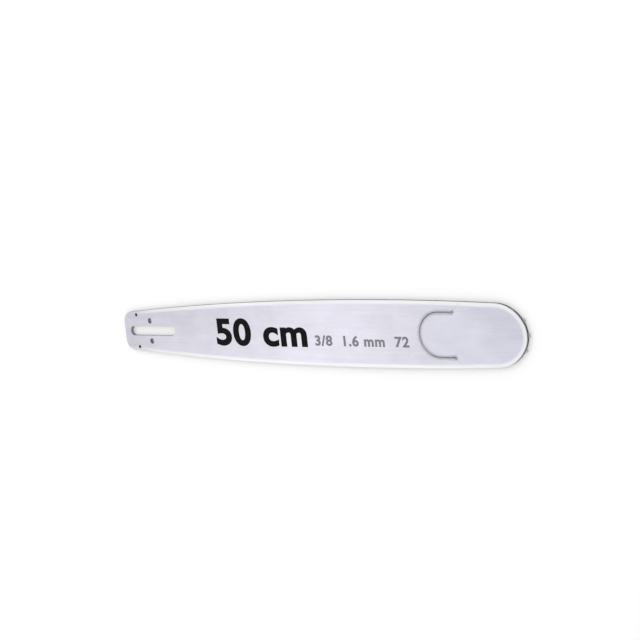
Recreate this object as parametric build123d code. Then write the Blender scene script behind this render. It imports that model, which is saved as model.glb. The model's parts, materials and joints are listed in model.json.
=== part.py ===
"""Guide bar of a chainsaw: a solid bar with a riveted, laminated sprocket nose.

The bar lies on its saw side. X runs along the bar to the nose, Y across it, and
Z through its thickness. The origin is the middle of the stud slot, on the saw side.
"""

import math
import os

from build123d import *

# Chain that the bar is made for
CHAIN_PITCH = 9.525
GROOVE_WIDTH = 1.6
STRAP_BELOW_RIVETS = 3.9
STRAP_LIFT = 0.85

# Bar
LENGTH = 592.0
THICKNESS = 4.8
GROOVE_DEPTH = 7.5
RAIL_CHAMFER = 0.35

# Outline: belly, shoulders and tail
BELLY_RISE = 10.0
BELLY_BACK = 199.0
NOSE_TAPER = 4.6
SHOULDER_EASE = 10.5
TAIL_HEIGHT = 47.0
TAIL_CORNER = 13.0

# Tail: stud slot, tensioner holes and oil holes
SLOT_LENGTH = 79.0
SLOT_WIDTH = 12.2
TAIL_WALL = 10.0
TENSION_HOLE_RADIUS = 3.5
TENSION_WALL = 3.4
TENSION_SHIFT = -3.0
OIL_HOLE_RADIUS = 2.1
OIL_WALL = 2.6
OIL_BACK = 23.0
MOUTH_LENGTH = 14.0
MOUTH_FLARE = 0.45

# Seam between the bar and its nose
TONGUE_RADIUS = 24.6
TONGUE_BACK = 80.0
STEP_BACK = 60.5
STEP_ANGLE = 48.0
SEAM_GAP = 0.15
SEAM_CHAMFER = 0.8

# Core plate of the nose, and its lap into the bar
LAP_LENGTH = 18.0
LAP_HALF_WIDTH = 15.0
LAP_CORNER = 6.0
LAP_CLEARANCE = 0.05
CORE_TO_TEETH = 1.0

# Nose sprocket
NOSE_TEETH = 11
TIP_PROUD = 2.0
TIP_BEVEL = 0.7
GULLET_RADIUS = 6.6
GULLET_SINK = 0.6
SPROCKET_SIDE_PLAY = 0.1

# Roller bearing
BORE_RADIUS = 11.6
ROLLER_RADIUS = 1.6
ROLLER_PLAY = 0.05
ROLLER_SPACING = 0.1
ROLLER_SIDE_PLAY = 0.1

# Rivets, pressed flush with both faces
RIVET_FIT = 0.03
HUB_RIVETS = 3
HUB_RIVET_RADIUS = 1.9
HUB_RIVET_CIRCLE = 5.0
JOINT_RIVET_RADIUS = 2.5
JOINT_RIVET_INSET = 9.0
JOINT_RIVET_SPACING = 9.5
CHEEK_RIVET_RADIUS = 2.2
CHEEK_RIVET_BACK = 52.0
CHEEK_RIVET_SPACING = 34.0

# Nose radius: the straps of the chain ride on it with their rivets on the sprocket's circle
rivet_circle = CHAIN_PITCH / (2 * math.sin(math.pi / (2 * NOSE_TEETH)))
nose_radius = rivet_circle - STRAP_BELOW_RIVETS - STRAP_LIFT
tip_radius = nose_radius + TIP_PROUD

# Stations along the bar
tail_x = -(TAIL_WALL + SLOT_LENGTH / 2)
nose_x = tail_x + LENGTH - nose_radius
belly_x = nose_x - BELLY_BACK
tongue_x = nose_x - TONGUE_BACK
step_x = nose_x - STEP_BACK
lap_x = tongue_x - TONGUE_RADIUS - LAP_LENGTH

# Levels through the thickness
mid_z = THICKNESS / 2
cheek_thickness = (THICKNESS - GROOVE_WIDTH) / 2
core_bottom = cheek_thickness
core_top = THICKNESS - cheek_thickness

# Edge curves: one arc from the tail to the belly, one on to the nose, and a shoulder arc
belly_half = nose_radius + BELLY_RISE
tail_drop = belly_half - TAIL_HEIGHT / 2
tail_arc = ((belly_x - tail_x) ** 2 + tail_drop**2) / (2 * tail_drop)
nose_arc = (BELLY_BACK**2 + NOSE_TAPER**2) / (2 * NOSE_TAPER)
shoulder_arc = nose_radius + SHOULDER_EASE


def half_height(x):
    """Half the bar's height at a station behind the belly."""
    return belly_half - tail_arc + math.sqrt(tail_arc**2 - (x - belly_x) ** 2)


def shoulder_centre():
    """Centre of the arc that runs tangent into the nose arc and the belly arc."""
    to_nose = shoulder_arc - nose_radius
    to_belly = nose_arc - shoulder_arc
    belly_dx = -BELLY_BACK
    belly_dy = belly_half - nose_arc
    apart = math.hypot(belly_dx, belly_dy)
    along = (to_nose**2 - to_belly**2 + apart**2) / (2 * apart)
    side = math.sqrt(to_nose**2 - along**2)
    ux = belly_dx / apart
    uy = belly_dy / apart
    return nose_x + along * ux + side * uy, along * uy - side * ux


def on_circle(centre, radius, degrees):
    """Point of a circle at an angle from +X."""
    angle = math.radians(degrees)
    return centre[0] + radius * math.cos(angle), centre[1] + radius * math.sin(angle)


def bearing(start, end):
    """Angle in degrees from one point to another."""
    return math.degrees(math.atan2(end[1] - start[1], end[0] - start[0]))


def arc(centre, radius, first, last):
    """Arc about a centre from one angle to another."""
    middle = (first + last) / 2
    points = [on_circle(centre, radius, angle) for angle in (first, middle, last)]
    return ThreePointArc(*points)


def bar_face(inset, tail_end):
    """Outline of the whole bar, moved in from its edges and cut square at the tail."""
    tail_centre = (belly_x, belly_half - tail_arc)
    nose_side_centre = (belly_x, belly_half - nose_arc)
    shoulder = shoulder_centre()
    nose_centre = (nose_x, 0.0)
    tail_radius = tail_arc - inset
    tail_angle = 90 + math.degrees(math.asin((belly_x - tail_end) / tail_radius))
    shoulder_angle = bearing(nose_side_centre, shoulder)
    nose_angle = bearing(shoulder, nose_centre)
    upper = [
        arc(tail_centre, tail_radius, tail_angle, 90),
        arc(nose_side_centre, nose_arc - inset, 90, shoulder_angle),
        arc(shoulder, shoulder_arc - inset, shoulder_angle, nose_angle),
        arc(nose_centre, nose_radius - inset, nose_angle, 0),
    ]
    top = on_circle(tail_centre, tail_radius, tail_angle)
    edges = upper + [edge.mirror(Plane.XZ) for edge in upper]
    edges.append(Line(top, (top[0], -top[1])))
    return make_face(edges)


def nose_mask(gap):
    """Everything on the nose's side of the seam, with the seam moved back by a gap."""
    reach = 2 * belly_half
    radius = TONGUE_RADIUS + gap
    step = math.radians(STEP_ANGLE)
    corner = (step_x - gap * math.tan(step / 2), radius)
    far = (corner[0] + reach / math.tan(step), corner[1] + reach)
    end = (far[0] + LENGTH, far[1])
    upper = [Line((tongue_x, radius), corner), Line(corner, far), Line(far, end)]
    edges = upper + [edge.mirror(Plane.XZ) for edge in upper]
    edges.append(ThreePointArc((tongue_x, radius), (tongue_x - radius, 0), (tongue_x, -radius)))
    edges.append(Line(end, (end[0], -end[1])))
    return make_face(edges)


def plate(face, bottom, top):
    """Flat plate between two levels."""
    return extrude(Pos(0, 0, bottom) * face, top - bottom)


def pair(x, y):
    """Two places, one on each side of the bar's axis."""
    return [(x, y), (x, -y)]


def rivets(radius, places):
    """A group of like rivets through the whole thickness."""
    return [plate(Pos(*place) * Circle(radius), 0, THICKNESS) for place in places]


def tongue_edges(solid, level):
    """Edges along the tongue's seam on one face, without the steps that run out to the rails."""
    edges = solid.edges().filter_by_position(Axis.Z, level, level)
    edges = edges.filter_by_position(Axis.X, tongue_x - 2 * TONGUE_RADIUS, step_x)
    return edges.filter_by_position(Axis.Y, -TONGUE_RADIUS - SEAM_GAP, TONGUE_RADIUS + SEAM_GAP)


# Blank: the whole outline with its rails' edges broken
outline = bar_face(0, tail_x)
tail_corners = outline.vertices().filter_by_position(Axis.X, tail_x - 0.01, tail_x + 0.01)
outline = fillet(tail_corners, TAIL_CORNER)
blank = plate(outline, 0, THICKNESS)
flats = blank.faces().filter_by(Axis.Z)
blank = chamfer(flats.edges(), RAIL_CHAMFER)

# Chain groove: even along the edges, flared at the tail so that the chain runs in freely
groove_floor = bar_face(GROOVE_DEPTH, tail_x - TAIL_WALL)
flare_end = tail_x + MOUTH_LENGTH
flare_start = tail_x - MOUTH_LENGTH
flare_outer = GROOVE_WIDTH / 2 + 2 * MOUTH_FLARE
mouth = make_face(
    Polyline(
        (flare_start, mid_z - flare_outer),
        (flare_end, mid_z - GROOVE_WIDTH / 2),
        (flare_end, mid_z + GROOVE_WIDTH / 2),
        (flare_start, mid_z + flare_outer),
        close=True,
    )
)
groove = plate(outline, core_bottom, core_top)
groove += extrude(Plane.XZ * mouth, 2 * belly_half, both=True)
groove -= plate(groove_floor, 0, THICKNESS)

# Rivet places
hub_places = [
    on_circle((nose_x, 0), HUB_RIVET_CIRCLE, 180 + 360 * k / HUB_RIVETS) for k in range(HUB_RIVETS)
]
joint_x = tongue_x - TONGUE_RADIUS - JOINT_RIVET_INSET
joint_places = [(joint_x, k * JOINT_RIVET_SPACING) for k in (-1, 0, 1)]
cheek_places = pair(nose_x - CHEEK_RIVET_BACK, CHEEK_RIVET_SPACING / 2)

hub_holes = rivets(HUB_RIVET_RADIUS + RIVET_FIT, hub_places)
joint_holes = rivets(JOINT_RIVET_RADIUS + RIVET_FIT, joint_places)
cheek_holes = rivets(CHEEK_RIVET_RADIUS + RIVET_FIT, cheek_places)

# Lap of the core plate into a slot behind the tongue
lap = Pos((lap_x + tongue_x) / 2, 0) * RectangleRounded(
    tongue_x - lap_x, 2 * LAP_HALF_WIDTH, LAP_CORNER
)
lap_slot_length = tongue_x - lap_x + 2 * LAP_CLEARANCE
lap_slot = Pos((lap_x + tongue_x) / 2, 0) * RectangleRounded(
    lap_slot_length, 2 * (LAP_HALF_WIDTH + LAP_CLEARANCE), LAP_CORNER + LAP_CLEARANCE
)

# Bar
bar = blank - plate(nose_mask(SEAM_GAP), 0, THICKNESS)
bar = chamfer(tongue_edges(bar, 0) + tongue_edges(bar, THICKNESS), SEAM_CHAMFER)
bar -= groove
bar -= plate(lap_slot, core_bottom, core_top)
bar -= joint_holes

slot = SlotOverall(SLOT_LENGTH, SLOT_WIDTH)
tension_y = SLOT_WIDTH / 2 + TENSION_WALL + TENSION_HOLE_RADIUS
oil_x = tail_x + OIL_BACK
oil_y = half_height(oil_x) - OIL_WALL - OIL_HOLE_RADIUS
bar -= plate(slot, 0, THICKNESS)
for place in pair(TENSION_SHIFT, tension_y):
    bar -= plate(Pos(*place) * Circle(TENSION_HOLE_RADIUS), 0, THICKNESS)
for place in pair(oil_x, oil_y):
    bar -= plate(Pos(*place) * Circle(OIL_HOLE_RADIUS), 0, THICKNESS)

# Nose: two cheeks on a core plate
far_cheek = blank & plate(nose_mask(0), 0, cheek_thickness)
far_cheek = chamfer(tongue_edges(far_cheek, 0), SEAM_CHAMFER)
near_cheek = blank & plate(nose_mask(0), core_top, THICKNESS)
near_cheek = chamfer(tongue_edges(near_cheek, THICKNESS), SEAM_CHAMFER)
far_cheek = far_cheek - hub_holes - cheek_holes
near_cheek = near_cheek - hub_holes - cheek_holes

core_face = (groove_floor & nose_mask(0)) + lap
core_face -= Pos(nose_x, 0) * Circle(tip_radius + CORE_TO_TEETH)
core = plate(core_face, core_bottom, core_top) - cheek_holes - joint_holes

# Sprocket with round gullets between its teeth
gullet_place = tip_radius - GULLET_SINK
star = Circle(tip_radius)
for k in range(NOSE_TEETH):
    star -= Rot(0, 0, 360 * (k + 0.5) / NOSE_TEETH) * Pos(gullet_place, 0) * Circle(GULLET_RADIUS)
tips = [v for v in star.vertices() if math.hypot(v.X, v.Y) > tip_radius - 0.1]
star = chamfer(tips, TIP_BEVEL) - Circle(BORE_RADIUS)
sprocket = plate(
    Pos(nose_x, 0) * star, core_bottom + SPROCKET_SIDE_PLAY, core_top - SPROCKET_SIDE_PLAY
)

# Rollers between the sprocket's bore and a fixed race
race_radius = BORE_RADIUS - 2 * (ROLLER_RADIUS + ROLLER_PLAY)
roller_circle = BORE_RADIUS - ROLLER_RADIUS - ROLLER_PLAY
roller_step = 2 * math.asin((ROLLER_RADIUS + ROLLER_SPACING / 2) / roller_circle)
roller_count = math.floor(2 * math.pi / roller_step)
race = plate(Pos(nose_x, 0) * Circle(race_radius), core_bottom, core_top) - hub_holes
rollers = []
for k in range(roller_count):
    spot = on_circle((nose_x, 0), roller_circle, 360 * k / roller_count)
    rollers.append(
        plate(
            Pos(*spot) * Circle(ROLLER_RADIUS),
            core_bottom + ROLLER_SIDE_PLAY,
            core_top - ROLLER_SIDE_PLAY,
        )
    )

pieces = {
    "bar": bar,
    "near_cheek": near_cheek,
    "far_cheek": far_cheek,
    "nose_core": core,
    "nose_sprocket": sprocket,
    "bearing_race": race,
    "hub_rivets": Compound(rivets(HUB_RIVET_RADIUS, hub_places)),
    "joint_rivets": Compound(rivets(JOINT_RIVET_RADIUS, joint_places)),
    "cheek_rivets": Compound(rivets(CHEEK_RIVET_RADIUS, cheek_places)),
}
for k, roller in enumerate(rollers, start=1):
    pieces[f"bearing_roller_{k:02d}"] = roller

os.makedirs("parts", exist_ok=True)
for name, piece in pieces.items():
    export_step(piece, f"parts/{name}.step")
    size = piece.bounding_box().size
    print(f"{name}: {piece.volume:.0f} mm3, {size.X:.1f} x {size.Y:.1f} x {size.Z:.1f}")
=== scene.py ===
"""Finish and stage of a chainsaw guide bar with a sprocket nose, laid out as an add-on.

The frame's own solids give every shape. This file gives them their steel, prints the bar's
size on its face, and sets the floor, the light and the camera.
"""

import json
import math
from collections import namedtuple

import bmesh
import bpy
from bpy.props import FloatProperty, FloatVectorProperty, PointerProperty, StringProperty
from mathutils import Matrix, Vector


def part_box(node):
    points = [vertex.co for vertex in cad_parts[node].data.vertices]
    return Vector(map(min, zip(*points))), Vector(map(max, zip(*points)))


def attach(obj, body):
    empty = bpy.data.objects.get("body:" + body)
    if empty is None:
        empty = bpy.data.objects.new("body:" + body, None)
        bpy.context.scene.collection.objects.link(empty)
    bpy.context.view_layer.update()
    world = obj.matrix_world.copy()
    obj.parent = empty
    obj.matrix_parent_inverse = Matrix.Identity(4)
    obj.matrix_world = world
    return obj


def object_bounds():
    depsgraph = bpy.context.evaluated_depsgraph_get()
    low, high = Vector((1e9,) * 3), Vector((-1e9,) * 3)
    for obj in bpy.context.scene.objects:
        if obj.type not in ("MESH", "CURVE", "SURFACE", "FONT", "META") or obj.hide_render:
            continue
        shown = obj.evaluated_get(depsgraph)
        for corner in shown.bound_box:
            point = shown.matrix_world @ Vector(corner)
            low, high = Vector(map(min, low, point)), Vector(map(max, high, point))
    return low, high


bl_info = {
    "name": "Guide Bar Finish",
    "version": (1, 0, 0),
    "blender": (4, 5, 0),
    "location": "View3D > Sidebar > Guide Bar",
    "description": "Steel, printed size and stage for a chainsaw guide bar",
    "category": "Object",
}

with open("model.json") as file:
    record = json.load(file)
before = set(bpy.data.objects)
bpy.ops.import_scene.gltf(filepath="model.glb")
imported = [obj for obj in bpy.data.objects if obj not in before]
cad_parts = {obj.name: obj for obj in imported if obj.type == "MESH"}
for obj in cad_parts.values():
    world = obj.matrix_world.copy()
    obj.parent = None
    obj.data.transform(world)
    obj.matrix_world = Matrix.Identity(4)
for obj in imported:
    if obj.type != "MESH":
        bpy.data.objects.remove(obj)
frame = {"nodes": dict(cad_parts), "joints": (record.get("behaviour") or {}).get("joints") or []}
cad_low, cad_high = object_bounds()

MM = 0.001
BODY = "bar_with_nose"

# Places that come from the frame, in millimetres
bar_low, bar_high = (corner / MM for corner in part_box("bar"))
cheek_low, cheek_high = (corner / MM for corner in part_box("near_cheek"))
core_low, core_high = (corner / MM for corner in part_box("nose_core"))
nose_x = frame["joints"][0]["pos_m"][0] / MM
nose_radius = cheek_high.x - nose_x
face_z = bar_high.z
mid_z = face_z / 2
groove_half = (core_high.z - core_low.z) / 2
belly_half = bar_high.y
tail_x = bar_low.x

# Edge curves and seam, as the bar was drawn, in millimetres
BELLY_BACK = 199.0
NOSE_TAPER = 4.6
SHOULDER_EASE = 10.5
TAIL_HEIGHT = 47.0
GROOVE_DEPTH = 7.5
TONGUE_RADIUS = 24.6
STEP_BACK = 60.5
belly_x = nose_x - BELLY_BACK
tongue_x = cheek_low.x + TONGUE_RADIUS
step_x = nose_x - STEP_BACK

# Lengths of the marks in the bar's steel along X, Y and Z, in millimetres
GRAIN = (26.0, 0.35, 0.35)
STREAKS = (150.0, 3.4, 3.4)
CLOUDS = (26.0, 17.0, 17.0)
SWEEP = (170.0, 90.0, 90.0)
SCRATCHES = (60.0, 0.22, 0.22)
RUBS = (70.0, 0.45, 20.0)
DIRT = (5.0, 5.0, 5.0)
SPECKS = (4.0, 1.0, 1.0)

# Inner side of the rails' bright band: how far it fades and strays, in millimetres
BAND_BEYOND = 1.5
BAND_WITHIN = 1.3
BAND_WANDER = 0.8
BAND_RAGGED = 3.5

# Bright band along the bar: where it begins and is whole from the tail, in millimetres
TAIL_BARE = 8.0
TAIL_WORN = 60.0

# How far to each side of the belly the rails keep one tone, before wear and painted sheen brighten
# them towards the ends, in millimetres
BELLY_EVEN = 60.0

# Depths under the face at which a cut's wall begins and is whole, in millimetres
WALL_BEGINS = 0.02
WALL_WHOLE = 0.16

# Walls that lie further inside the bar's edge than this are cut walls, in millimetres
CUTS_INSIDE = 1.2

# Where the stain on the edges and the groove's oil and painted shade end and are whole, in millimetres
STAIN_REACH = 0.30
STAIN_WHOLE = 0.05
OIL_AND_SHADE_BESIDE = 0.12
OIL_AND_SHADE_WHOLE = 0.02
OIL_AND_SHADE_BELOW = 0.6

# How far the seam's dirt and painted shade stray to each side, in millimetres
GRIME_AND_SHADE_WANDER = 0.4
GRIME_AND_SHADE_RAGGED = 3.0

# Spots of painted shade at the seam's two ends: place and reach in millimetres, and stretch along the
# bar
SPOT_BACK = 0.8
SPOT_REACH = 3.5
SPOT_STRETCH = 1.35

# Shares of the reach of the painted shade at the seam's ends and of the crept dirt that are dark all
# over
SPOT_WHOLE = 0.25
CREEP_WHOLE = 0.2

# Bright wear on the teeth: its limits within and beyond the cheeks' edge, and straying, in millimetres
WEAR_WITHIN = 3.0
WEAR_BEYOND = 0.8
WEAR_WANDER = 1.5

# Strokes' weight as a share of the type's size, letters' spacing and width as shares of the plain ones
TypeStyle = namedtuple("TypeStyle", "weight spacing width")
LENGTH_TYPE = TypeStyle(weight=0.036, spacing=1.06, width=1.26)
DATA_TYPE = TypeStyle(weight=0.036, spacing=1.10, width=1.16)

# Steps in each curve of a letter
CURVE_STEPS = 16

# Points of the letters that are nearer to each other than this are joined, in metres
WELD = 0.000001

# Half the floor's side and its gap under the bar, in metres
FLOOR_REACH = 8.0
FLOOR_DROP = 0.0003

# Width of the camera's sensor, in millimetres
SENSOR = 36.0

# Colour of the sky
WHITE = (1.0, 1.0, 1.0, 1.0)

# Sockets of a mix node: its two numbers, its two colours and the mixed colour
MIX_NUMBERS = (2, 3)
MIX_COLOURS = (6, 7)
MIXED_COLOUR = 2


class BarSteelSettings(bpy.types.PropertyGroup):
    """Ground steel of the bar and its nose."""

    face: FloatVectorProperty(
        name="Face",
        description="Satin steel of the flat faces",
        subtype="COLOR",
        size=3,
        default=(0.556, 0.549, 0.614),
    )
    nose: FloatVectorProperty(
        name="Nose",
        description="Satin steel of the nose's cheeks",
        subtype="COLOR",
        size=3,
        default=(0.530, 0.535, 0.609),
    )
    rail: FloatVectorProperty(
        name="Rail",
        description="Bare bright steel along the rails and round the nose",
        subtype="COLOR",
        size=3,
        default=(0.665, 0.665, 0.685),
    )
    # Near black inside the groove: oily steel, and painted shade in the groove's recess.
    groove: FloatVectorProperty(
        name="Groove",
        description="Oily steel inside the chain groove",
        subtype="COLOR",
        size=3,
        default=(0.05, 0.05, 0.055),
    )
    running: FloatVectorProperty(
        name="Running edge",
        description="Oil-stained edges that the chain runs on",
        subtype="COLOR",
        size=3,
        default=(0.38, 0.38, 0.40),
    )
    wall: FloatVectorProperty(
        name="Hole walls",
        description="Cut steel inside the slot and the holes",
        subtype="COLOR",
        size=3,
        default=(0.28, 0.28, 0.30),
    )
    # Darker than the face as dirt and as painted shade in the seam's recess.
    seam: FloatVectorProperty(
        name="Seam",
        description="Walls of the seam round the nose's tongue",
        subtype="COLOR",
        size=3,
        default=(0.38, 0.38, 0.40),
    )
    # Dark colour beside the seam: crept oily dirt, partly painted shade along the seam's line, and
    # painted shade at its two ends.
    grime_and_shade: FloatVectorProperty(
        name="Grime",
        description="Oily dirt that has crept out of the seam",
        subtype="COLOR",
        size=3,
        default=(0.20, 0.20, 0.21),
    )
    tongue: FloatVectorProperty(
        name="Tongue edge",
        description="Bare broken edge of the nose's tongue, beside the seam",
        subtype="COLOR",
        size=3,
        default=(0.50, 0.50, 0.53),
    )
    band: FloatProperty(
        name="Rail band",
        description="Width of the bright band along each edge, in millimetres",
        min=0.0,
        default=4.2,
    )
    # The crept darkening is oily dirt and partly painted shade that widens the seam's dark line.
    creep: FloatProperty(
        name="Seam creep",
        description="How far grime has crept out of the seam over the face, in millimetres",
        min=0.0,
        default=4.2,
    )
    creep_share: FloatProperty(
        name="Seam creep strength",
        description="How much the crept grime darkens the steel beside the seam",
        subtype="FACTOR",
        min=0.0,
        max=1.0,
        default=0.48,
    )
    # The darkening at the seam's two ends is painted shade.
    spot_share: FloatProperty(
        name="Seam end strength",
        description="How much the grime darkens the steel at the seam's two ends",
        subtype="FACTOR",
        min=0.0,
        max=1.0,
        default=0.85,
    )


class SmallSteelSettings(bpy.types.PropertyGroup):
    """Steel of the smaller pieces."""

    rivet: FloatVectorProperty(
        name="Rivets",
        description="Rivets pressed flush and ground with the face",
        subtype="COLOR",
        size=3,
        default=(0.54, 0.546, 0.615),
    )
    sprocket: FloatVectorProperty(
        name="Sprocket",
        description="Hardened steel of the nose sprocket",
        subtype="COLOR",
        size=3,
        default=(0.20, 0.20, 0.21),
    )
    tooth: FloatVectorProperty(
        name="Tooth tips",
        description="Steel of the teeth where the chain rubs them bright",
        subtype="COLOR",
        size=3,
        default=(0.33, 0.33, 0.34),
    )
    core: FloatVectorProperty(
        name="Core",
        description="Oiled steel of the nose's core plate",
        subtype="COLOR",
        size=3,
        default=(0.16, 0.16, 0.17),
    )
    bearing: FloatVectorProperty(
        name="Bearing",
        description="Ground steel of the race and its rollers",
        subtype="COLOR",
        size=3,
        default=(0.55, 0.55, 0.57),
    )


class PrintSettings(bpy.types.PropertyGroup):
    """Size of the bar, printed on its face."""

    length_text: StringProperty(
        name="Length",
        description="Length printed large on the face",
        default="50 cm",
    )
    data_text: StringProperty(
        name="Chain data",
        description="Pitch, gauge and number of drive links printed small",
        default="3/8  1.6 mm  72",
    )
    length_place: FloatVectorProperty(
        name="Length at",
        description="Left end of the length's base line",
        subtype="XYZ",
        unit="LENGTH",
        size=2,
        default=(0.108, -0.0150),
    )
    data_place: FloatVectorProperty(
        name="Chain data at",
        description="Left end of the chain data's base line",
        subtype="XYZ",
        unit="LENGTH",
        size=2,
        default=(0.262, -0.0140),
    )
    length_size: FloatProperty(
        name="Length size",
        description="Type size of the length",
        unit="LENGTH",
        default=0.044,
    )
    data_size: FloatProperty(
        name="Chain data size",
        description="Type size of the chain data",
        unit="LENGTH",
        default=0.0160,
    )
    film: FloatProperty(
        name="Ink film",
        description="Thickness of the ink on the steel",
        unit="LENGTH",
        default=0.00003,
    )
    black: FloatVectorProperty(
        name="Black ink",
        description="Ink of the length",
        subtype="COLOR",
        size=3,
        default=(0.0025, 0.0025, 0.003),
    )
    grey: FloatVectorProperty(
        name="Grey ink",
        description="Ink of the chain data",
        subtype="COLOR",
        size=3,
        default=(0.21, 0.21, 0.23),
    )
    bare: FloatVectorProperty(
        name="Scratches",
        description="Bare steel where the ink is scratched through",
        subtype="COLOR",
        size=3,
        default=(0.42, 0.42, 0.46),
    )


class StageSettings(bpy.types.PropertyGroup):
    """Floor, light and camera."""

    floor: FloatVectorProperty(
        name="Floor",
        description="Matt floor under the bar",
        subtype="COLOR",
        size=3,
        default=(0.98, 0.98, 0.98),
    )
    floor_white: FloatProperty(
        name="Floor white",
        description="Share of plain white in the floor as the camera sees it",
        subtype="FACTOR",
        min=0.0,
        max=1.0,
        default=0.15,
    )
    sky: FloatProperty(
        name="Sky",
        description="Strength of the even light from all round",
        min=0.0,
        default=0.93,
    )
    key_power: FloatProperty(
        name="Key lamp",
        description="Power of the large soft lamp",
        subtype="POWER",
        default=8.0,
    )
    key_size: FloatProperty(
        name="Key lamp size",
        description="Side of the large soft lamp",
        unit="LENGTH",
        default=2.4,
    )
    key_place: FloatVectorProperty(
        name="Key lamp at",
        description="Place of the large soft lamp",
        subtype="XYZ",
        unit="LENGTH",
        size=3,
        default=(0.25, 1.60, 1.80),
    )
    sheen_power: FloatProperty(
        name="Sheen lamp",
        description="Power of the smaller lamp that the middle of the face mirrors to the camera",
        subtype="POWER",
        default=1.02,
    )
    sheen_size: FloatProperty(
        name="Sheen lamp size",
        description="Side of the smaller lamp",
        unit="LENGTH",
        default=0.55,
    )
    sheen_place: FloatVectorProperty(
        name="Sheen lamp at",
        description="Place of the smaller lamp",
        subtype="XYZ",
        unit="LENGTH",
        size=3,
        default=(-0.59, -0.28, 1.18),
    )
    turn: FloatProperty(
        name="Turn",
        description="How far the camera swings from straight above towards the nose",
        subtype="ANGLE",
        default=math.radians(39.0),
    )
    tilt: FloatProperty(
        name="Tilt",
        description="How far the camera swings towards the bar's upper edge",
        subtype="ANGLE",
        default=math.radians(8.0),
    )
    roll: FloatProperty(
        name="Roll",
        description="How far the camera rolls about its line of sight",
        subtype="ANGLE",
        default=math.radians(-6.05),
    )
    nose_from_camera: FloatVectorProperty(
        name="Nose from camera",
        description="Centre of the nose's face as the camera measures it: right, up and back",
        subtype="XYZ",
        unit="LENGTH",
        size=3,
        default=(0.1899, -0.0165, -1.4536),
    )
    lens: FloatProperty(
        name="Lens",
        description="Focal length on a 36 mm sensor",
        unit="CAMERA",
        default=78.75,
    )


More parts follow.
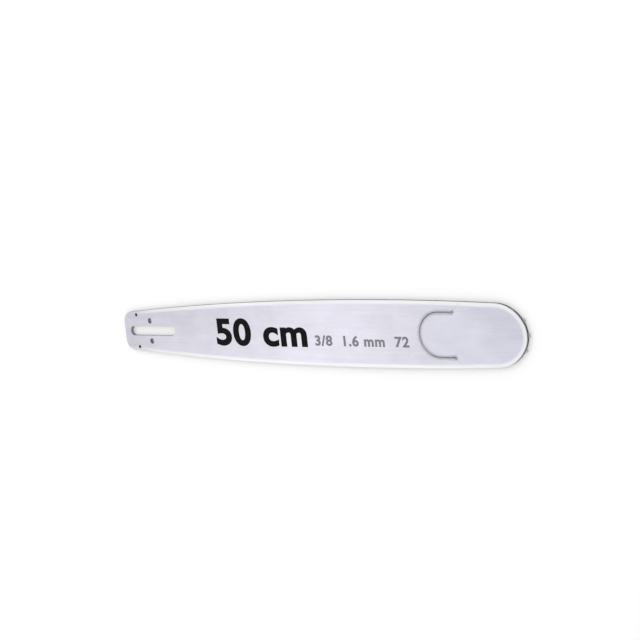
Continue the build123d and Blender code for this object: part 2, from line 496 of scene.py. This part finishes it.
class Finish:
    """One material's node tree, with fields measured in millimetres of the frame."""

    def __init__(self, name, metallic):
        self.material = bpy.data.materials.new(name)
        self.material.use_nodes = True
        self.tree = self.material.node_tree
        self.shader = self.tree.nodes["Principled BSDF"]
        self.shader.inputs["Metallic"].default_value = metallic
        coordinates = self.node("ShaderNodeTexCoord")
        millimetres = self.node("ShaderNodeVectorMath", operation="SCALE")
        millimetres.inputs["Scale"].default_value = 1 / MM
        self.put(millimetres.inputs[0], coordinates.outputs["Object"])
        self.place = millimetres.outputs[0]
        split = self.node("ShaderNodeSeparateXYZ")
        self.put(split.inputs[0], self.place)
        self.x, self.y, self.z = split.outputs

    def node(self, kind, **settings):
        """A new node with its settings."""
        made = self.tree.nodes.new(kind)
        for key, value in settings.items():
            setattr(made, key, value)
        return made

    def put(self, socket, value):
        """Link a socket to an output, or give it a plain value."""
        if isinstance(value, bpy.types.NodeSocket):
            self.tree.links.new(value, socket)
        else:
            socket.default_value = value

    def math(self, operation, first, second=0.0):
        """One step of arithmetic."""
        made = self.node("ShaderNodeMath", operation=operation)
        self.put(made.inputs[0], first)
        self.put(made.inputs[1], second)
        return made.outputs[0]

    def ease(self, value, start, end):
        """Smooth step from 0 at start to 1 at end."""
        rising = start < end
        made = self.node("ShaderNodeMapRange", interpolation_type="SMOOTHSTEP")
        self.put(made.inputs["Value"], value)
        made.inputs["From Min"].default_value = min(start, end)
        made.inputs["From Max"].default_value = max(start, end)
        made.inputs["To Min"].default_value = 0.0 if rising else 1.0
        made.inputs["To Max"].default_value = 1.0 if rising else 0.0
        return made.outputs["Result"]

    def ramp(self, share, low, high):
        """Straight line that is low where a field is 0 and high where it is 1."""
        made = self.node("ShaderNodeMapRange", clamp=False)
        self.put(made.inputs["Value"], share)
        made.inputs["To Min"].default_value = low
        made.inputs["To Max"].default_value = high
        return made.outputs["Result"]

    def join(self, x, y, z):
        """Three fields as one place."""
        made = self.node("ShaderNodeCombineXYZ")
        for socket, value in zip(made.inputs, (x, y, z)):
            self.put(socket, value)
        return made.outputs[0]

    def noise(self, lengths, detail, roughness=0.55, place=None):
        """Cloudy field whose blotches have these lengths along X, Y and Z."""
        stretch = self.node("ShaderNodeVectorMath", operation="DIVIDE")
        self.put(stretch.inputs[0], place or self.place)
        stretch.inputs[1].default_value = lengths
        made = self.node("ShaderNodeTexNoise")
        made.inputs["Scale"].default_value = 1.0
        made.inputs["Detail"].default_value = detail
        made.inputs["Roughness"].default_value = roughness
        self.put(made.inputs["Vector"], stretch.outputs[0])
        return made.outputs[0]

    def choose(self, share, first, second):
        """Number between two numbers."""
        made = self.node("ShaderNodeMix", data_type="FLOAT")
        self.put(made.inputs[0], share)
        for index, number in zip(MIX_NUMBERS, (first, second)):
            self.put(made.inputs[index], number)
        return made.outputs[0]

    def blend(self, share, first, second):
        """Colour between two colours."""
        made = self.node("ShaderNodeMix", data_type="RGBA")
        self.put(made.inputs[0], share)
        for index, colour in zip(MIX_COLOURS, (first, second)):
            is_field = isinstance(colour, bpy.types.NodeSocket)
            self.put(made.inputs[index], colour if is_field else (*colour, 1.0))
        return made.outputs[MIXED_COLOUR]

    def tinted(self, colour, share, low, high):
        """A colour that a field makes darker or lighter, by low where it is 0 and by high at 1."""
        made = self.node("ShaderNodeVectorMath", operation="SCALE")
        self.put(made.inputs[0], colour)
        self.put(made.inputs["Scale"], self.ramp(share, low, high))
        return made.outputs[0]

    def length(self, first, second):
        """Long side of a right-angled triangle with these two short sides."""
        squares = self.math("MULTIPLY", first, first)
        total = self.math("ADD", squares, self.math("MULTIPLY", second, second))
        return self.math("SQRT", total)

    def distance(self, centre, y=None):
        """Distance across the face from a point, with another field for Y where one is given."""
        along = self.math("SUBTRACT", self.x, centre[0])
        across = self.math("SUBTRACT", self.y if y is None else y, centre[1])
        return self.length(along, across)

    def colour(self, value):
        """Base colour of the surface."""
        self.put(self.shader.inputs["Base Color"], value)

    def roughness(self, value):
        """Roughness that changes over the surface."""
        self.put(self.shader.inputs["Roughness"], value)

    def relief(self, height, strength, depth):
        """Fine relief of the surface, with its depth in millimetres."""
        bump = self.node("ShaderNodeBump")
        bump.inputs["Strength"].default_value = strength
        bump.inputs["Distance"].default_value = depth * MM
        self.put(bump.inputs["Height"], height)
        self.put(self.shader.inputs["Normal"], bump.outputs[0])


def arc_radius(half_chord, rise):
    """Radius of an arc that rises by so much over half its chord."""
    return (half_chord**2 + rise**2) / (2 * rise)


def shoulder_centre(belly_centre, belly_radius, radius):
    """Centre of the arc that runs from the belly's edge into the nose, above the bar's axis."""
    nose = Vector((nose_x, 0.0))
    to_belly = belly_centre - nose
    apart = to_belly.length
    near = radius - nose_radius
    far = belly_radius - radius
    along = (near**2 - far**2 + apart**2) / (2 * apart)
    side = math.sqrt(near**2 - along**2)
    unit = to_belly / apart
    return nose + along * unit + side * Vector((unit.y, -unit.x))


def edge_depth(steel):
    """How far a point of the face lies inside the bar's edge."""
    tail_radius = arc_radius(belly_x - tail_x, belly_half - TAIL_HEIGHT / 2)
    front_radius = arc_radius(BELLY_BACK, NOSE_TAPER)
    shoulder_radius = nose_radius + SHOULDER_EASE
    tail_centre = Vector((belly_x, belly_half - tail_radius))
    front_centre = Vector((belly_x, belly_half - front_radius))
    shoulder = shoulder_centre(front_centre, front_radius, shoulder_radius)
    nose = Vector((nose_x, 0.0))
    upper = steel.math("ABSOLUTE", steel.y)

    def depth(centre, radius):
        """How far a point lies inside an arc of the edge."""
        return steel.math("SUBTRACT", radius, steel.distance(centre, upper))

    def past(centre, direction):
        """1 on the nose's side of a line through a centre."""
        along = steel.math("SUBTRACT", steel.x, centre.x)
        across = steel.math("SUBTRACT", upper, centre.y)
        ahead = steel.math("MULTIPLY", along, direction.y)
        aside = steel.math("MULTIPLY", across, direction.x)
        return steel.math("GREATER_THAN", steel.math("SUBTRACT", ahead, aside), 0.0)

    front = steel.math("GREATER_THAN", steel.x, belly_x)
    belly = steel.choose(front, depth(tail_centre, tail_radius), depth(front_centre, front_radius))
    to_shoulder = (shoulder - front_centre).normalized()
    to_nose = (nose - shoulder).normalized()
    rounded = steel.choose(past(shoulder, to_shoulder), belly, depth(shoulder, shoulder_radius))
    return steel.choose(past(nose, to_nose), rounded, depth(nose, nose_radius))


def ground_face(steel, settings, grain, streaks, clouds):
    """Satin steel of the faces, ground along the bar, from the bar's tone to the nose's."""
    sweep = steel.noise(SWEEP, detail=1.0)
    mixed = steel.math("ADD", steel.math("ADD", grain, streaks), steel.math("ADD", clouds, sweep))
    scratches = steel.ease(steel.noise(SCRATCHES, detail=0.0), start=0.68, end=0.78)
    tone = steel.ease(mixed, start=1.45, end=2.55)
    tone = steel.math("ADD", tone, steel.ramp(scratches, low=0.0, high=0.7))
    to_nose = steel.ease(steel.x, (belly_x + tongue_x) / 2, nose_x)
    satin = steel.blend(to_nose, settings.face, settings.nose)
    return steel.tinted(satin, tone, low=0.90, high=1.07)


def rail_band(steel, settings, inside, clouds, rubs):
    """Share of the bright band along each edge, which fades out before the tail."""
    wander = steel.ramp(clouds, low=-BAND_WANDER, high=BAND_WANDER)
    ragged = steel.ramp(rubs, low=-BAND_RAGGED, high=BAND_RAGGED)
    reach = steel.math("ADD", inside, steel.math("ADD", wander, ragged))
    band = steel.ease(reach, settings.band + BAND_BEYOND, settings.band - BAND_WITHIN)
    worn = steel.ease(steel.x, tail_x + TAIL_BARE, tail_x + TAIL_WORN)
    return steel.math("MULTIPLY", band, worn)


def bright_rail(steel, settings, rubs):
    """Bare steel of the rails with rub marks, a little brighter towards the bar's two ends, partly as
    wear and partly as painted sheen where the lamp's reflection falls off.
    """
    from_belly = steel.math("ABSOLUTE", steel.math("SUBTRACT", steel.x, belly_x))
    to_ends = steel.ease(from_belly, BELLY_EVEN, BELLY_BACK)
    # Brighter towards the ends: wear, and painted sheen that makes up for the lamp's fading
    # reflection.
    bare = steel.tinted(settings.rail, to_ends, low=1.0, high=1.10)
    return steel.tinted(bare, rubs, low=0.76, high=1.14)


def seam_grime_and_shade(steel, settings, clouds):
    """Share of the darkening beside the seam: ragged oily dirt crept out of it, partly painted shade
    that widens its dark line, and spots of painted shade at its two ends.
    """
    specks = steel.noise(SPECKS, detail=4.0, roughness=0.7)
    wander = steel.ramp(clouds, low=-GRIME_AND_SHADE_WANDER, high=GRIME_AND_SHADE_WANDER)
    ragged = steel.ramp(specks, low=-GRIME_AND_SHADE_RAGGED, high=GRIME_AND_SHADE_RAGGED)

    behind = steel.math("MAXIMUM", steel.math("SUBTRACT", tongue_x, steel.x), 0.0)
    beyond = steel.math("MAXIMUM", steel.math("SUBTRACT", steel.x, step_x), 0.0)
    round_tongue = steel.math("SUBTRACT", steel.length(behind, steel.y), TONGUE_RADIUS)
    from_seam = steel.math("ADD", steel.length(round_tongue, beyond), wander)
    from_seam = steel.math("ADD", from_seam, ragged)
    creep = steel.ease(from_seam, settings.creep, settings.creep * CREEP_WHOLE)

    along = steel.math("SUBTRACT", steel.x, step_x - SPOT_BACK)
    along = steel.math("DIVIDE", along, SPOT_STRETCH)
    across = steel.math("SUBTRACT", steel.math("ABSOLUTE", steel.y), TONGUE_RADIUS)
    from_end = steel.math("ADD", steel.length(along, across), ragged)
    spot = steel.ease(from_end, SPOT_REACH, SPOT_REACH * SPOT_WHOLE)

    crept = steel.math("MULTIPLY", creep, settings.creep_share)
    return steel.math("MAXIMUM", crept, steel.math("MULTIPLY", spot, settings.spot_share))


def cut_share(steel, inside, from_middle):
    """Share of the walls of the slot, the holes and the seam, under the face and off the edge."""
    under_face = steel.ease(from_middle, mid_z - WALL_BEGINS, mid_z - WALL_WHOLE)
    off_edge = steel.math("GREATER_THAN", inside, CUTS_INSIDE)
    return steel.math("MULTIPLY", under_face, off_edge)


def cut_wall(steel, settings, seam):
    """Dirty steel of cut walls: of the slot and holes behind the belly, of the seam ahead of it, where
    the seam's darker tone is partly painted shade in its recess.
    """
    dirt = steel.noise(DIRT, detail=3.0)
    cut = steel.tinted(settings.wall, dirt, low=0.8, high=1.2)
    seam_wall = steel.tinted(seam, dirt, low=0.6, high=1.4)
    return steel.blend(steel.math("GREATER_THAN", steel.x, belly_x), cut, seam_wall)


def groove_oil_and_shade(steel, inside, from_middle):
    """Share of the oil and the painted shade inside the chain groove."""
    between = steel.ease(from_middle, groove_half + OIL_AND_SHADE_BESIDE, groove_half + OIL_AND_SHADE_WHOLE)
    above_floor = steel.ease(inside, GROOVE_DEPTH + OIL_AND_SHADE_BELOW, GROOVE_DEPTH)
    return steel.math("MULTIPLY", between, above_floor)


def bar_steel(name, seam, settings):
    """Satin steel, ground along the bar, with bright rails, a groove dark with oil and painted shade,
    and a seam darkened by oily dirt and painted shade.
    """
    steel = Finish(name, metallic=0.9)
    inside = edge_depth(steel)
    from_middle = steel.math("ABSOLUTE", steel.math("SUBTRACT", steel.z, mid_z))
    grain = steel.noise(GRAIN, detail=4.0, roughness=0.6)
    streaks = steel.noise(STREAKS, detail=3.0)
    clouds = steel.noise(CLOUDS, detail=3.0)
    along_edge = steel.join(steel.x, inside, steel.z)
    rubs = steel.noise(RUBS, detail=3.0, roughness=0.6, place=along_edge)

    surface = ground_face(steel, settings, grain, streaks, clouds)
    band = rail_band(steel, settings, inside, clouds, rubs)
    surface = steel.blend(band, surface, bright_rail(steel, settings, rubs))
    # Oily dirt and painted shade beside the seam and at its two ends.
    surface = steel.blend(seam_grime_and_shade(steel, settings, clouds), surface, settings.grime_and_shade)
    sunk = cut_share(steel, inside, from_middle)
    # Cut walls under the face; at the seam their darker tone is partly painted shade.
    surface = steel.blend(sunk, surface, cut_wall(steel, settings, seam))
    stained = steel.tinted(settings.running, streaks, low=0.7, high=1.3)
    surface = steel.blend(steel.ease(inside, STAIN_REACH, STAIN_WHOLE), surface, stained)
    # The groove's near black is oil and painted shade in its recess.
    steel.colour(steel.blend(groove_oil_and_shade(steel, inside, from_middle), surface, settings.groove))

    polish = steel.math("MULTIPLY", band, steel.ramp(rubs, low=0.0, high=0.06))
    steel.roughness(steel.math("SUBTRACT", steel.ramp(streaks, low=0.26, high=0.48), polish))
    steel.relief(grain, strength=0.12, depth=0.02)
    return steel.material


def rivet_steel(colour):
    """Rivet ends, ground with the face but a little harder and greyer."""
    steel = Finish("rivet_steel", metallic=0.9)
    grain = steel.noise(lengths=(14.0, 0.4, 0.4), detail=4.0)
    blot = steel.noise(lengths=(3.0, 3.0, 3.0), detail=2.0)
    tone = steel.math("MULTIPLY", steel.math("ADD", grain, blot), 0.5)
    steel.colour(steel.tinted(colour, tone, low=0.82, high=1.1))
    steel.roughness(steel.ramp(blot, low=0.26, high=0.42))
    steel.relief(grain, strength=0.1, depth=0.02)
    return steel.material


def sprocket_steel(colour, tooth):
    """Dark hardened steel, rubbed bright on the teeth."""
    steel = Finish("sprocket_steel", metallic=0.95)
    blot = steel.noise(lengths=(4.0, 4.0, 4.0), detail=4.0)
    wander = steel.ramp(blot, low=-WEAR_WANDER, high=WEAR_WANDER)
    radius = steel.math("ADD", steel.distance((nose_x, 0.0)), wander)
    worn = steel.ease(radius, nose_radius - WEAR_WITHIN, nose_radius + WEAR_BEYOND)
    steel.colour(steel.blend(worn, steel.tinted(colour, blot, low=0.75, high=1.3), tooth))
    steel.roughness(steel.ramp(worn, low=0.45, high=0.27))
    steel.relief(blot, strength=0.1, depth=0.03)
    return steel.material


def core_steel(colour):
    """Plain rolled steel with an oil film."""
    steel = Finish("core_steel", metallic=0.85)
    blot = steel.noise(lengths=(9.0, 5.0, 5.0), detail=4.0)
    steel.colour(steel.tinted(colour, blot, low=0.7, high=1.4))
    steel.roughness(steel.ramp(blot, low=0.30, high=0.55))
    return steel.material


def bearing_steel(colour):
    """Ground bearing steel with a trace of oil."""
    steel = Finish("bearing_steel", metallic=1.0)
    blot = steel.noise(lengths=(1.6, 1.6, 1.6), detail=3.0)
    steel.colour(steel.tinted(colour, blot, low=0.8, high=1.15))
    steel.roughness(steel.ramp(blot, low=0.14, high=0.28))
    return steel.material


def print_ink(name, colour, bare):
    """Screen-printed ink that is a little thin here and there, with fine scratches along the bar."""
    ink = Finish(name, metallic=0.0)
    ink.shader.inputs["Specular IOR Level"].default_value = 0.06
    thin = ink.noise(lengths=(2.2, 1.4, 1.4), detail=4.0)
    rubbed = ink.ease(thin, start=0.60, end=0.82)
    scratches = ink.noise(lengths=(30.0, 0.16, 0.16), detail=1.0)
    scratches = ink.ease(scratches, start=0.66, end=0.80)
    worn = ink.math("MULTIPLY", scratches, ink.ramp(thin, low=0.05, high=0.35))
    ink.colour(ink.blend(worn, ink.tinted(colour, rubbed, low=1.0, high=3.0), bare))
    ink.roughness(ink.ramp(thin, low=0.36, high=0.56))
    return ink.material


def paint(node, material):
    """Give a node of the frame its one material."""
    mesh = frame["nodes"][node].data
    mesh.materials.clear()
    mesh.materials.append(material)


def weld(mesh):
    """Join the faces and edges of the letters, which come apart from the type, to closed forms."""
    form = bmesh.new()
    form.from_mesh(mesh)
    bmesh.ops.remove_doubles(form, verts=form.verts, dist=WELD)
    bmesh.ops.recalc_face_normals(form, faces=form.faces)
    form.to_mesh(mesh)
    form.free()
    mesh.shade_flat()


def printed_text(name, text, place, size, style, film, material):
    """A line of plain type lying on the near face as a thin film."""
    stroke = style.weight * size
    curve = bpy.data.curves.new(name, "FONT")
    curve.body = text
    curve.size = size
    curve.space_character = style.spacing
    curve.bevel_depth = stroke
    curve.bevel_resolution = 0
    curve.resolution_u = CURVE_STEPS
    typed = bpy.data.objects.new(name, curve)
    mesh = bpy.data.meshes.new_from_object(typed)
    bpy.data.objects.remove(typed)
    bpy.data.curves.remove(curve)
    weld(mesh)
    flatten = Matrix.Diagonal((style.width, 1.0, film / (2 * stroke), 1.0))
    mesh.transform(Matrix.Translation((place[0], place[1], face_z * MM + film / 2)) @ flatten)
    mesh.materials.clear()
    mesh.materials.append(material)
    piece = bpy.data.objects.new(name, mesh)
    bpy.context.scene.collection.objects.link(piece)
    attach(piece, BODY)


def seen_directly(tree):
    """1 for what the camera sees, straight or in metal and glass."""
    path = tree.nodes.new("ShaderNodeLightPath")
    total = path.outputs["Is Camera Ray"]
    for ray in ("Is Glossy Ray", "Is Transmission Ray"):
        step = tree.nodes.new("ShaderNodeMath")
        step.operation = "MAXIMUM"
        tree.links.new(total, step.inputs[0])
        tree.links.new(path.outputs[ray], step.inputs[1])
        total = step.outputs[0]
    return total


def floor_material(settings):
    """Matt floor, near white to the camera but with the bar's shadow."""
    material = bpy.data.materials.new("matt_floor")
    material.use_nodes = True
    tree = material.node_tree
    matt = tree.nodes["Principled BSDF"]
    matt.inputs["Base Color"].default_value = (*settings.floor, 1.0)
    matt.inputs["Roughness"].default_value = 0.9
    white = tree.nodes.new("ShaderNodeEmission")
    share = tree.nodes.new("ShaderNodeMath")
    share.operation = "MULTIPLY"
    share.inputs[1].default_value = settings.floor_white
    tree.links.new(seen_directly(tree), share.inputs[0])
    mixed = tree.nodes.new("ShaderNodeMixShader")
    tree.links.new(share.outputs[0], mixed.inputs[0])
    tree.links.new(matt.outputs[0], mixed.inputs[1])
    tree.links.new(white.outputs[0], mixed.inputs[2])
    tree.links.new(mixed.outputs[0], tree.nodes["Material Output"].inputs["Surface"])
    return material


def lay_floor(scene, settings):
    """Wide floor just under the bar."""
    reach = FLOOR_REACH
    corners = [(-reach, -reach), (reach, -reach), (reach, reach), (-reach, reach)]
    mesh = bpy.data.meshes.new("floor")
    mesh.from_pydata([(x, y, cad_low.z - FLOOR_DROP) for x, y in corners], [], [(0, 1, 2, 3)])
    mesh.materials.append(floor_material(settings))
    floor = bpy.data.objects.new("floor", mesh)
    scene.collection.objects.link(floor)


def light_sky(scene, settings):
    """Even light from all round, white to the camera and in the steel."""
    world = bpy.data.worlds.new("studio")
    world.use_nodes = True
    tree = world.node_tree
    soft = tree.nodes["Background"]
    soft.inputs["Color"].default_value = WHITE
    soft.inputs["Strength"].default_value = settings.sky
    white = tree.nodes.new("ShaderNodeBackground")
    white.inputs["Color"].default_value = WHITE
    white.inputs["Strength"].default_value = 1.0
    mixed = tree.nodes.new("ShaderNodeMixShader")
    tree.links.new(seen_directly(tree), mixed.inputs[0])
    tree.links.new(soft.outputs[0], mixed.inputs[1])
    tree.links.new(white.outputs[0], mixed.inputs[2])
    tree.links.new(mixed.outputs[0], tree.nodes["World Output"].inputs["Surface"])
    scene.world = world


def hang_lamps(scene, settings):
    """A large soft lamp high beyond the bar's upper edge and a smaller one that its face mirrors."""
    middle = (cad_low + cad_high) / 2
    lamps = (
        ("key_lamp", settings.key_place, settings.key_power, settings.key_size),
        ("sheen_lamp", settings.sheen_place, settings.sheen_power, settings.sheen_size),
    )
    for name, place, power, size in lamps:
        lamp = bpy.data.lights.new(name, "AREA")
        lamp.size = size
        lamp.energy = power
        hung = bpy.data.objects.new(name, lamp)
        hung.location = place
        hung.rotation_euler = (middle - hung.location).to_track_quat("-Z", "Y").to_euler()
        scene.collection.objects.link(hung)


def set_camera(scene, settings):
    """Camera that looks down on the bar at the photograph's angle."""
    data = bpy.data.cameras.new("camera")
    data.sensor_width = SENSOR
    data.lens = settings.lens
    data.clip_start = 0.01
    camera = bpy.data.objects.new("camera", data)
    turned = Matrix.Rotation(settings.turn, 3, "Y")
    tilted = Matrix.Rotation(-settings.tilt, 3, "X")
    rolled = Matrix.Rotation(settings.roll, 3, "Z")
    facing = turned @ tilted @ rolled
    nose = Vector((nose_x, 0.0, face_z)) * MM
    place = nose - facing @ Vector(settings.nose_from_camera)
    camera.matrix_world = Matrix.Translation(place) @ facing.to_4x4()
    scene.collection.objects.link(camera)
    scene.camera = camera


class GUIDEBAR_OT_finish_bar(bpy.types.Operator):
    """Give the bar and the nose's cheeks their ground steel"""

    bl_idname = "guidebar.finish_bar"
    bl_label = "Finish Bar and Cheeks"

    def execute(self, context):
        settings = context.scene.guidebar_steel
        bar = bar_steel("bar_steel", settings.seam, settings)
        cheek = bar_steel("nose_steel", settings.tongue, settings)
        paint("bar", bar)
        paint("near_cheek", cheek)
        paint("far_cheek", cheek)
        return {"FINISHED"}


class GUIDEBAR_OT_finish_rivets(bpy.types.Operator):
    """Give the three groups of rivets their steel"""

    bl_idname = "guidebar.finish_rivets"
    bl_label = "Finish Rivets"

    def execute(self, context):
        steel = rivet_steel(context.scene.guidebar_small.rivet)
        for node in ("hub_rivets", "cheek_rivets", "joint_rivets"):
            paint(node, steel)
        return {"FINISHED"}


class GUIDEBAR_OT_finish_sprocket(bpy.types.Operator):
    """Give the nose sprocket and the core plate their steel"""

    bl_idname = "guidebar.finish_sprocket"
    bl_label = "Finish Sprocket and Core"

    def execute(self, context):
        settings = context.scene.guidebar_small
        paint("nose_sprocket", sprocket_steel(settings.sprocket, settings.tooth))
        paint("nose_core", core_steel(settings.core))
        return {"FINISHED"}


class GUIDEBAR_OT_finish_bearing(bpy.types.Operator):
    """Give the bearing's race and rollers their steel"""

    bl_idname = "guidebar.finish_bearing"
    bl_label = "Finish Bearing"

    def execute(self, context):
        steel = bearing_steel(context.scene.guidebar_small.bearing)
        for node in frame["nodes"]:
            if node.startswith("bearing_"):
                paint(node, steel)
        return {"FINISHED"}


class GUIDEBAR_OT_print_size(bpy.types.Operator):
    """Print the bar's length and its chain data on the near face"""

    bl_idname = "guidebar.print_size"
    bl_label = "Print Size"

    def execute(self, context):
        settings = context.scene.guidebar_print
        black = print_ink("black_ink", settings.black, settings.bare)
        grey = print_ink("grey_ink", settings.grey, settings.bare)
        printed_text(
            "printed_length",
            settings.length_text,
            settings.length_place,
            settings.length_size,
            LENGTH_TYPE,
            settings.film,
            black,
        )
        printed_text(
            "printed_chain_data",
            settings.data_text,
            settings.data_place,
            settings.data_size,
            DATA_TYPE,
            settings.film,
            grey,
        )
        return {"FINISHED"}


class GUIDEBAR_OT_set_stage(bpy.types.Operator):
    """Lay the floor, light it and set the camera"""

    bl_idname = "guidebar.set_stage"
    bl_label = "Set Stage"

    def execute(self, context):
        scene = context.scene
        settings = scene.guidebar_stage
        scene.view_settings.view_transform = "Standard"
        lay_floor(scene, settings)
        light_sky(scene, settings)
        hang_lamps(scene, settings)
        set_camera(scene, settings)
        return {"FINISHED"}


STEPS = {
    "guidebar_steel": (GUIDEBAR_OT_finish_bar,),
    "guidebar_small": (
        GUIDEBAR_OT_finish_rivets,
        GUIDEBAR_OT_finish_sprocket,
        GUIDEBAR_OT_finish_bearing,
    ),
    "guidebar_print": (GUIDEBAR_OT_print_size,),
    "guidebar_stage": (GUIDEBAR_OT_set_stage,),
}
SETTINGS = {
    "guidebar_steel": BarSteelSettings,
    "guidebar_small": SmallSteelSettings,
    "guidebar_print": PrintSettings,
    "guidebar_stage": StageSettings,
}


class GUIDEBAR_PT_panel(bpy.types.Panel):
    """The guide bar's steps and their settings"""

    bl_idname = "GUIDEBAR_PT_panel"
    bl_label = "Guide Bar"
    bl_space_type = "VIEW_3D"
    bl_region_type = "UI"
    bl_category = "Guide Bar"

    def draw(self, context):
        for pointer, operators in STEPS.items():
            box = self.layout.box()
            settings = getattr(context.scene, pointer)
            for name in settings.bl_rna.properties.keys():
                if name not in ("rna_type", "name"):
                    box.prop(settings, name)
            for operator in operators:
                box.operator(operator.bl_idname)


def register():
    """Register the settings, the operators and the panel."""
    for pointer, group in SETTINGS.items():
        bpy.utils.register_class(group)
        setattr(bpy.types.Scene, pointer, PointerProperty(type=group))
    for operators in STEPS.values():
        for operator in operators:
            bpy.utils.register_class(operator)
    bpy.utils.register_class(GUIDEBAR_PT_panel)


def unregister():
    """Take everything off again."""
    bpy.utils.unregister_class(GUIDEBAR_PT_panel)
    for operators in STEPS.values():
        for operator in operators:
            bpy.utils.unregister_class(operator)
    for pointer, group in SETTINGS.items():
        delattr(bpy.types.Scene, pointer)
        bpy.utils.unregister_class(group)


def main():
    """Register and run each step."""
    register()
    bpy.ops.guidebar.finish_bar()
    bpy.ops.guidebar.finish_rivets()
    bpy.ops.guidebar.finish_sprocket()
    bpy.ops.guidebar.finish_bearing()
    bpy.ops.guidebar.print_size()
    bpy.ops.guidebar.set_stage()


if __name__ == "__main__":
    main()
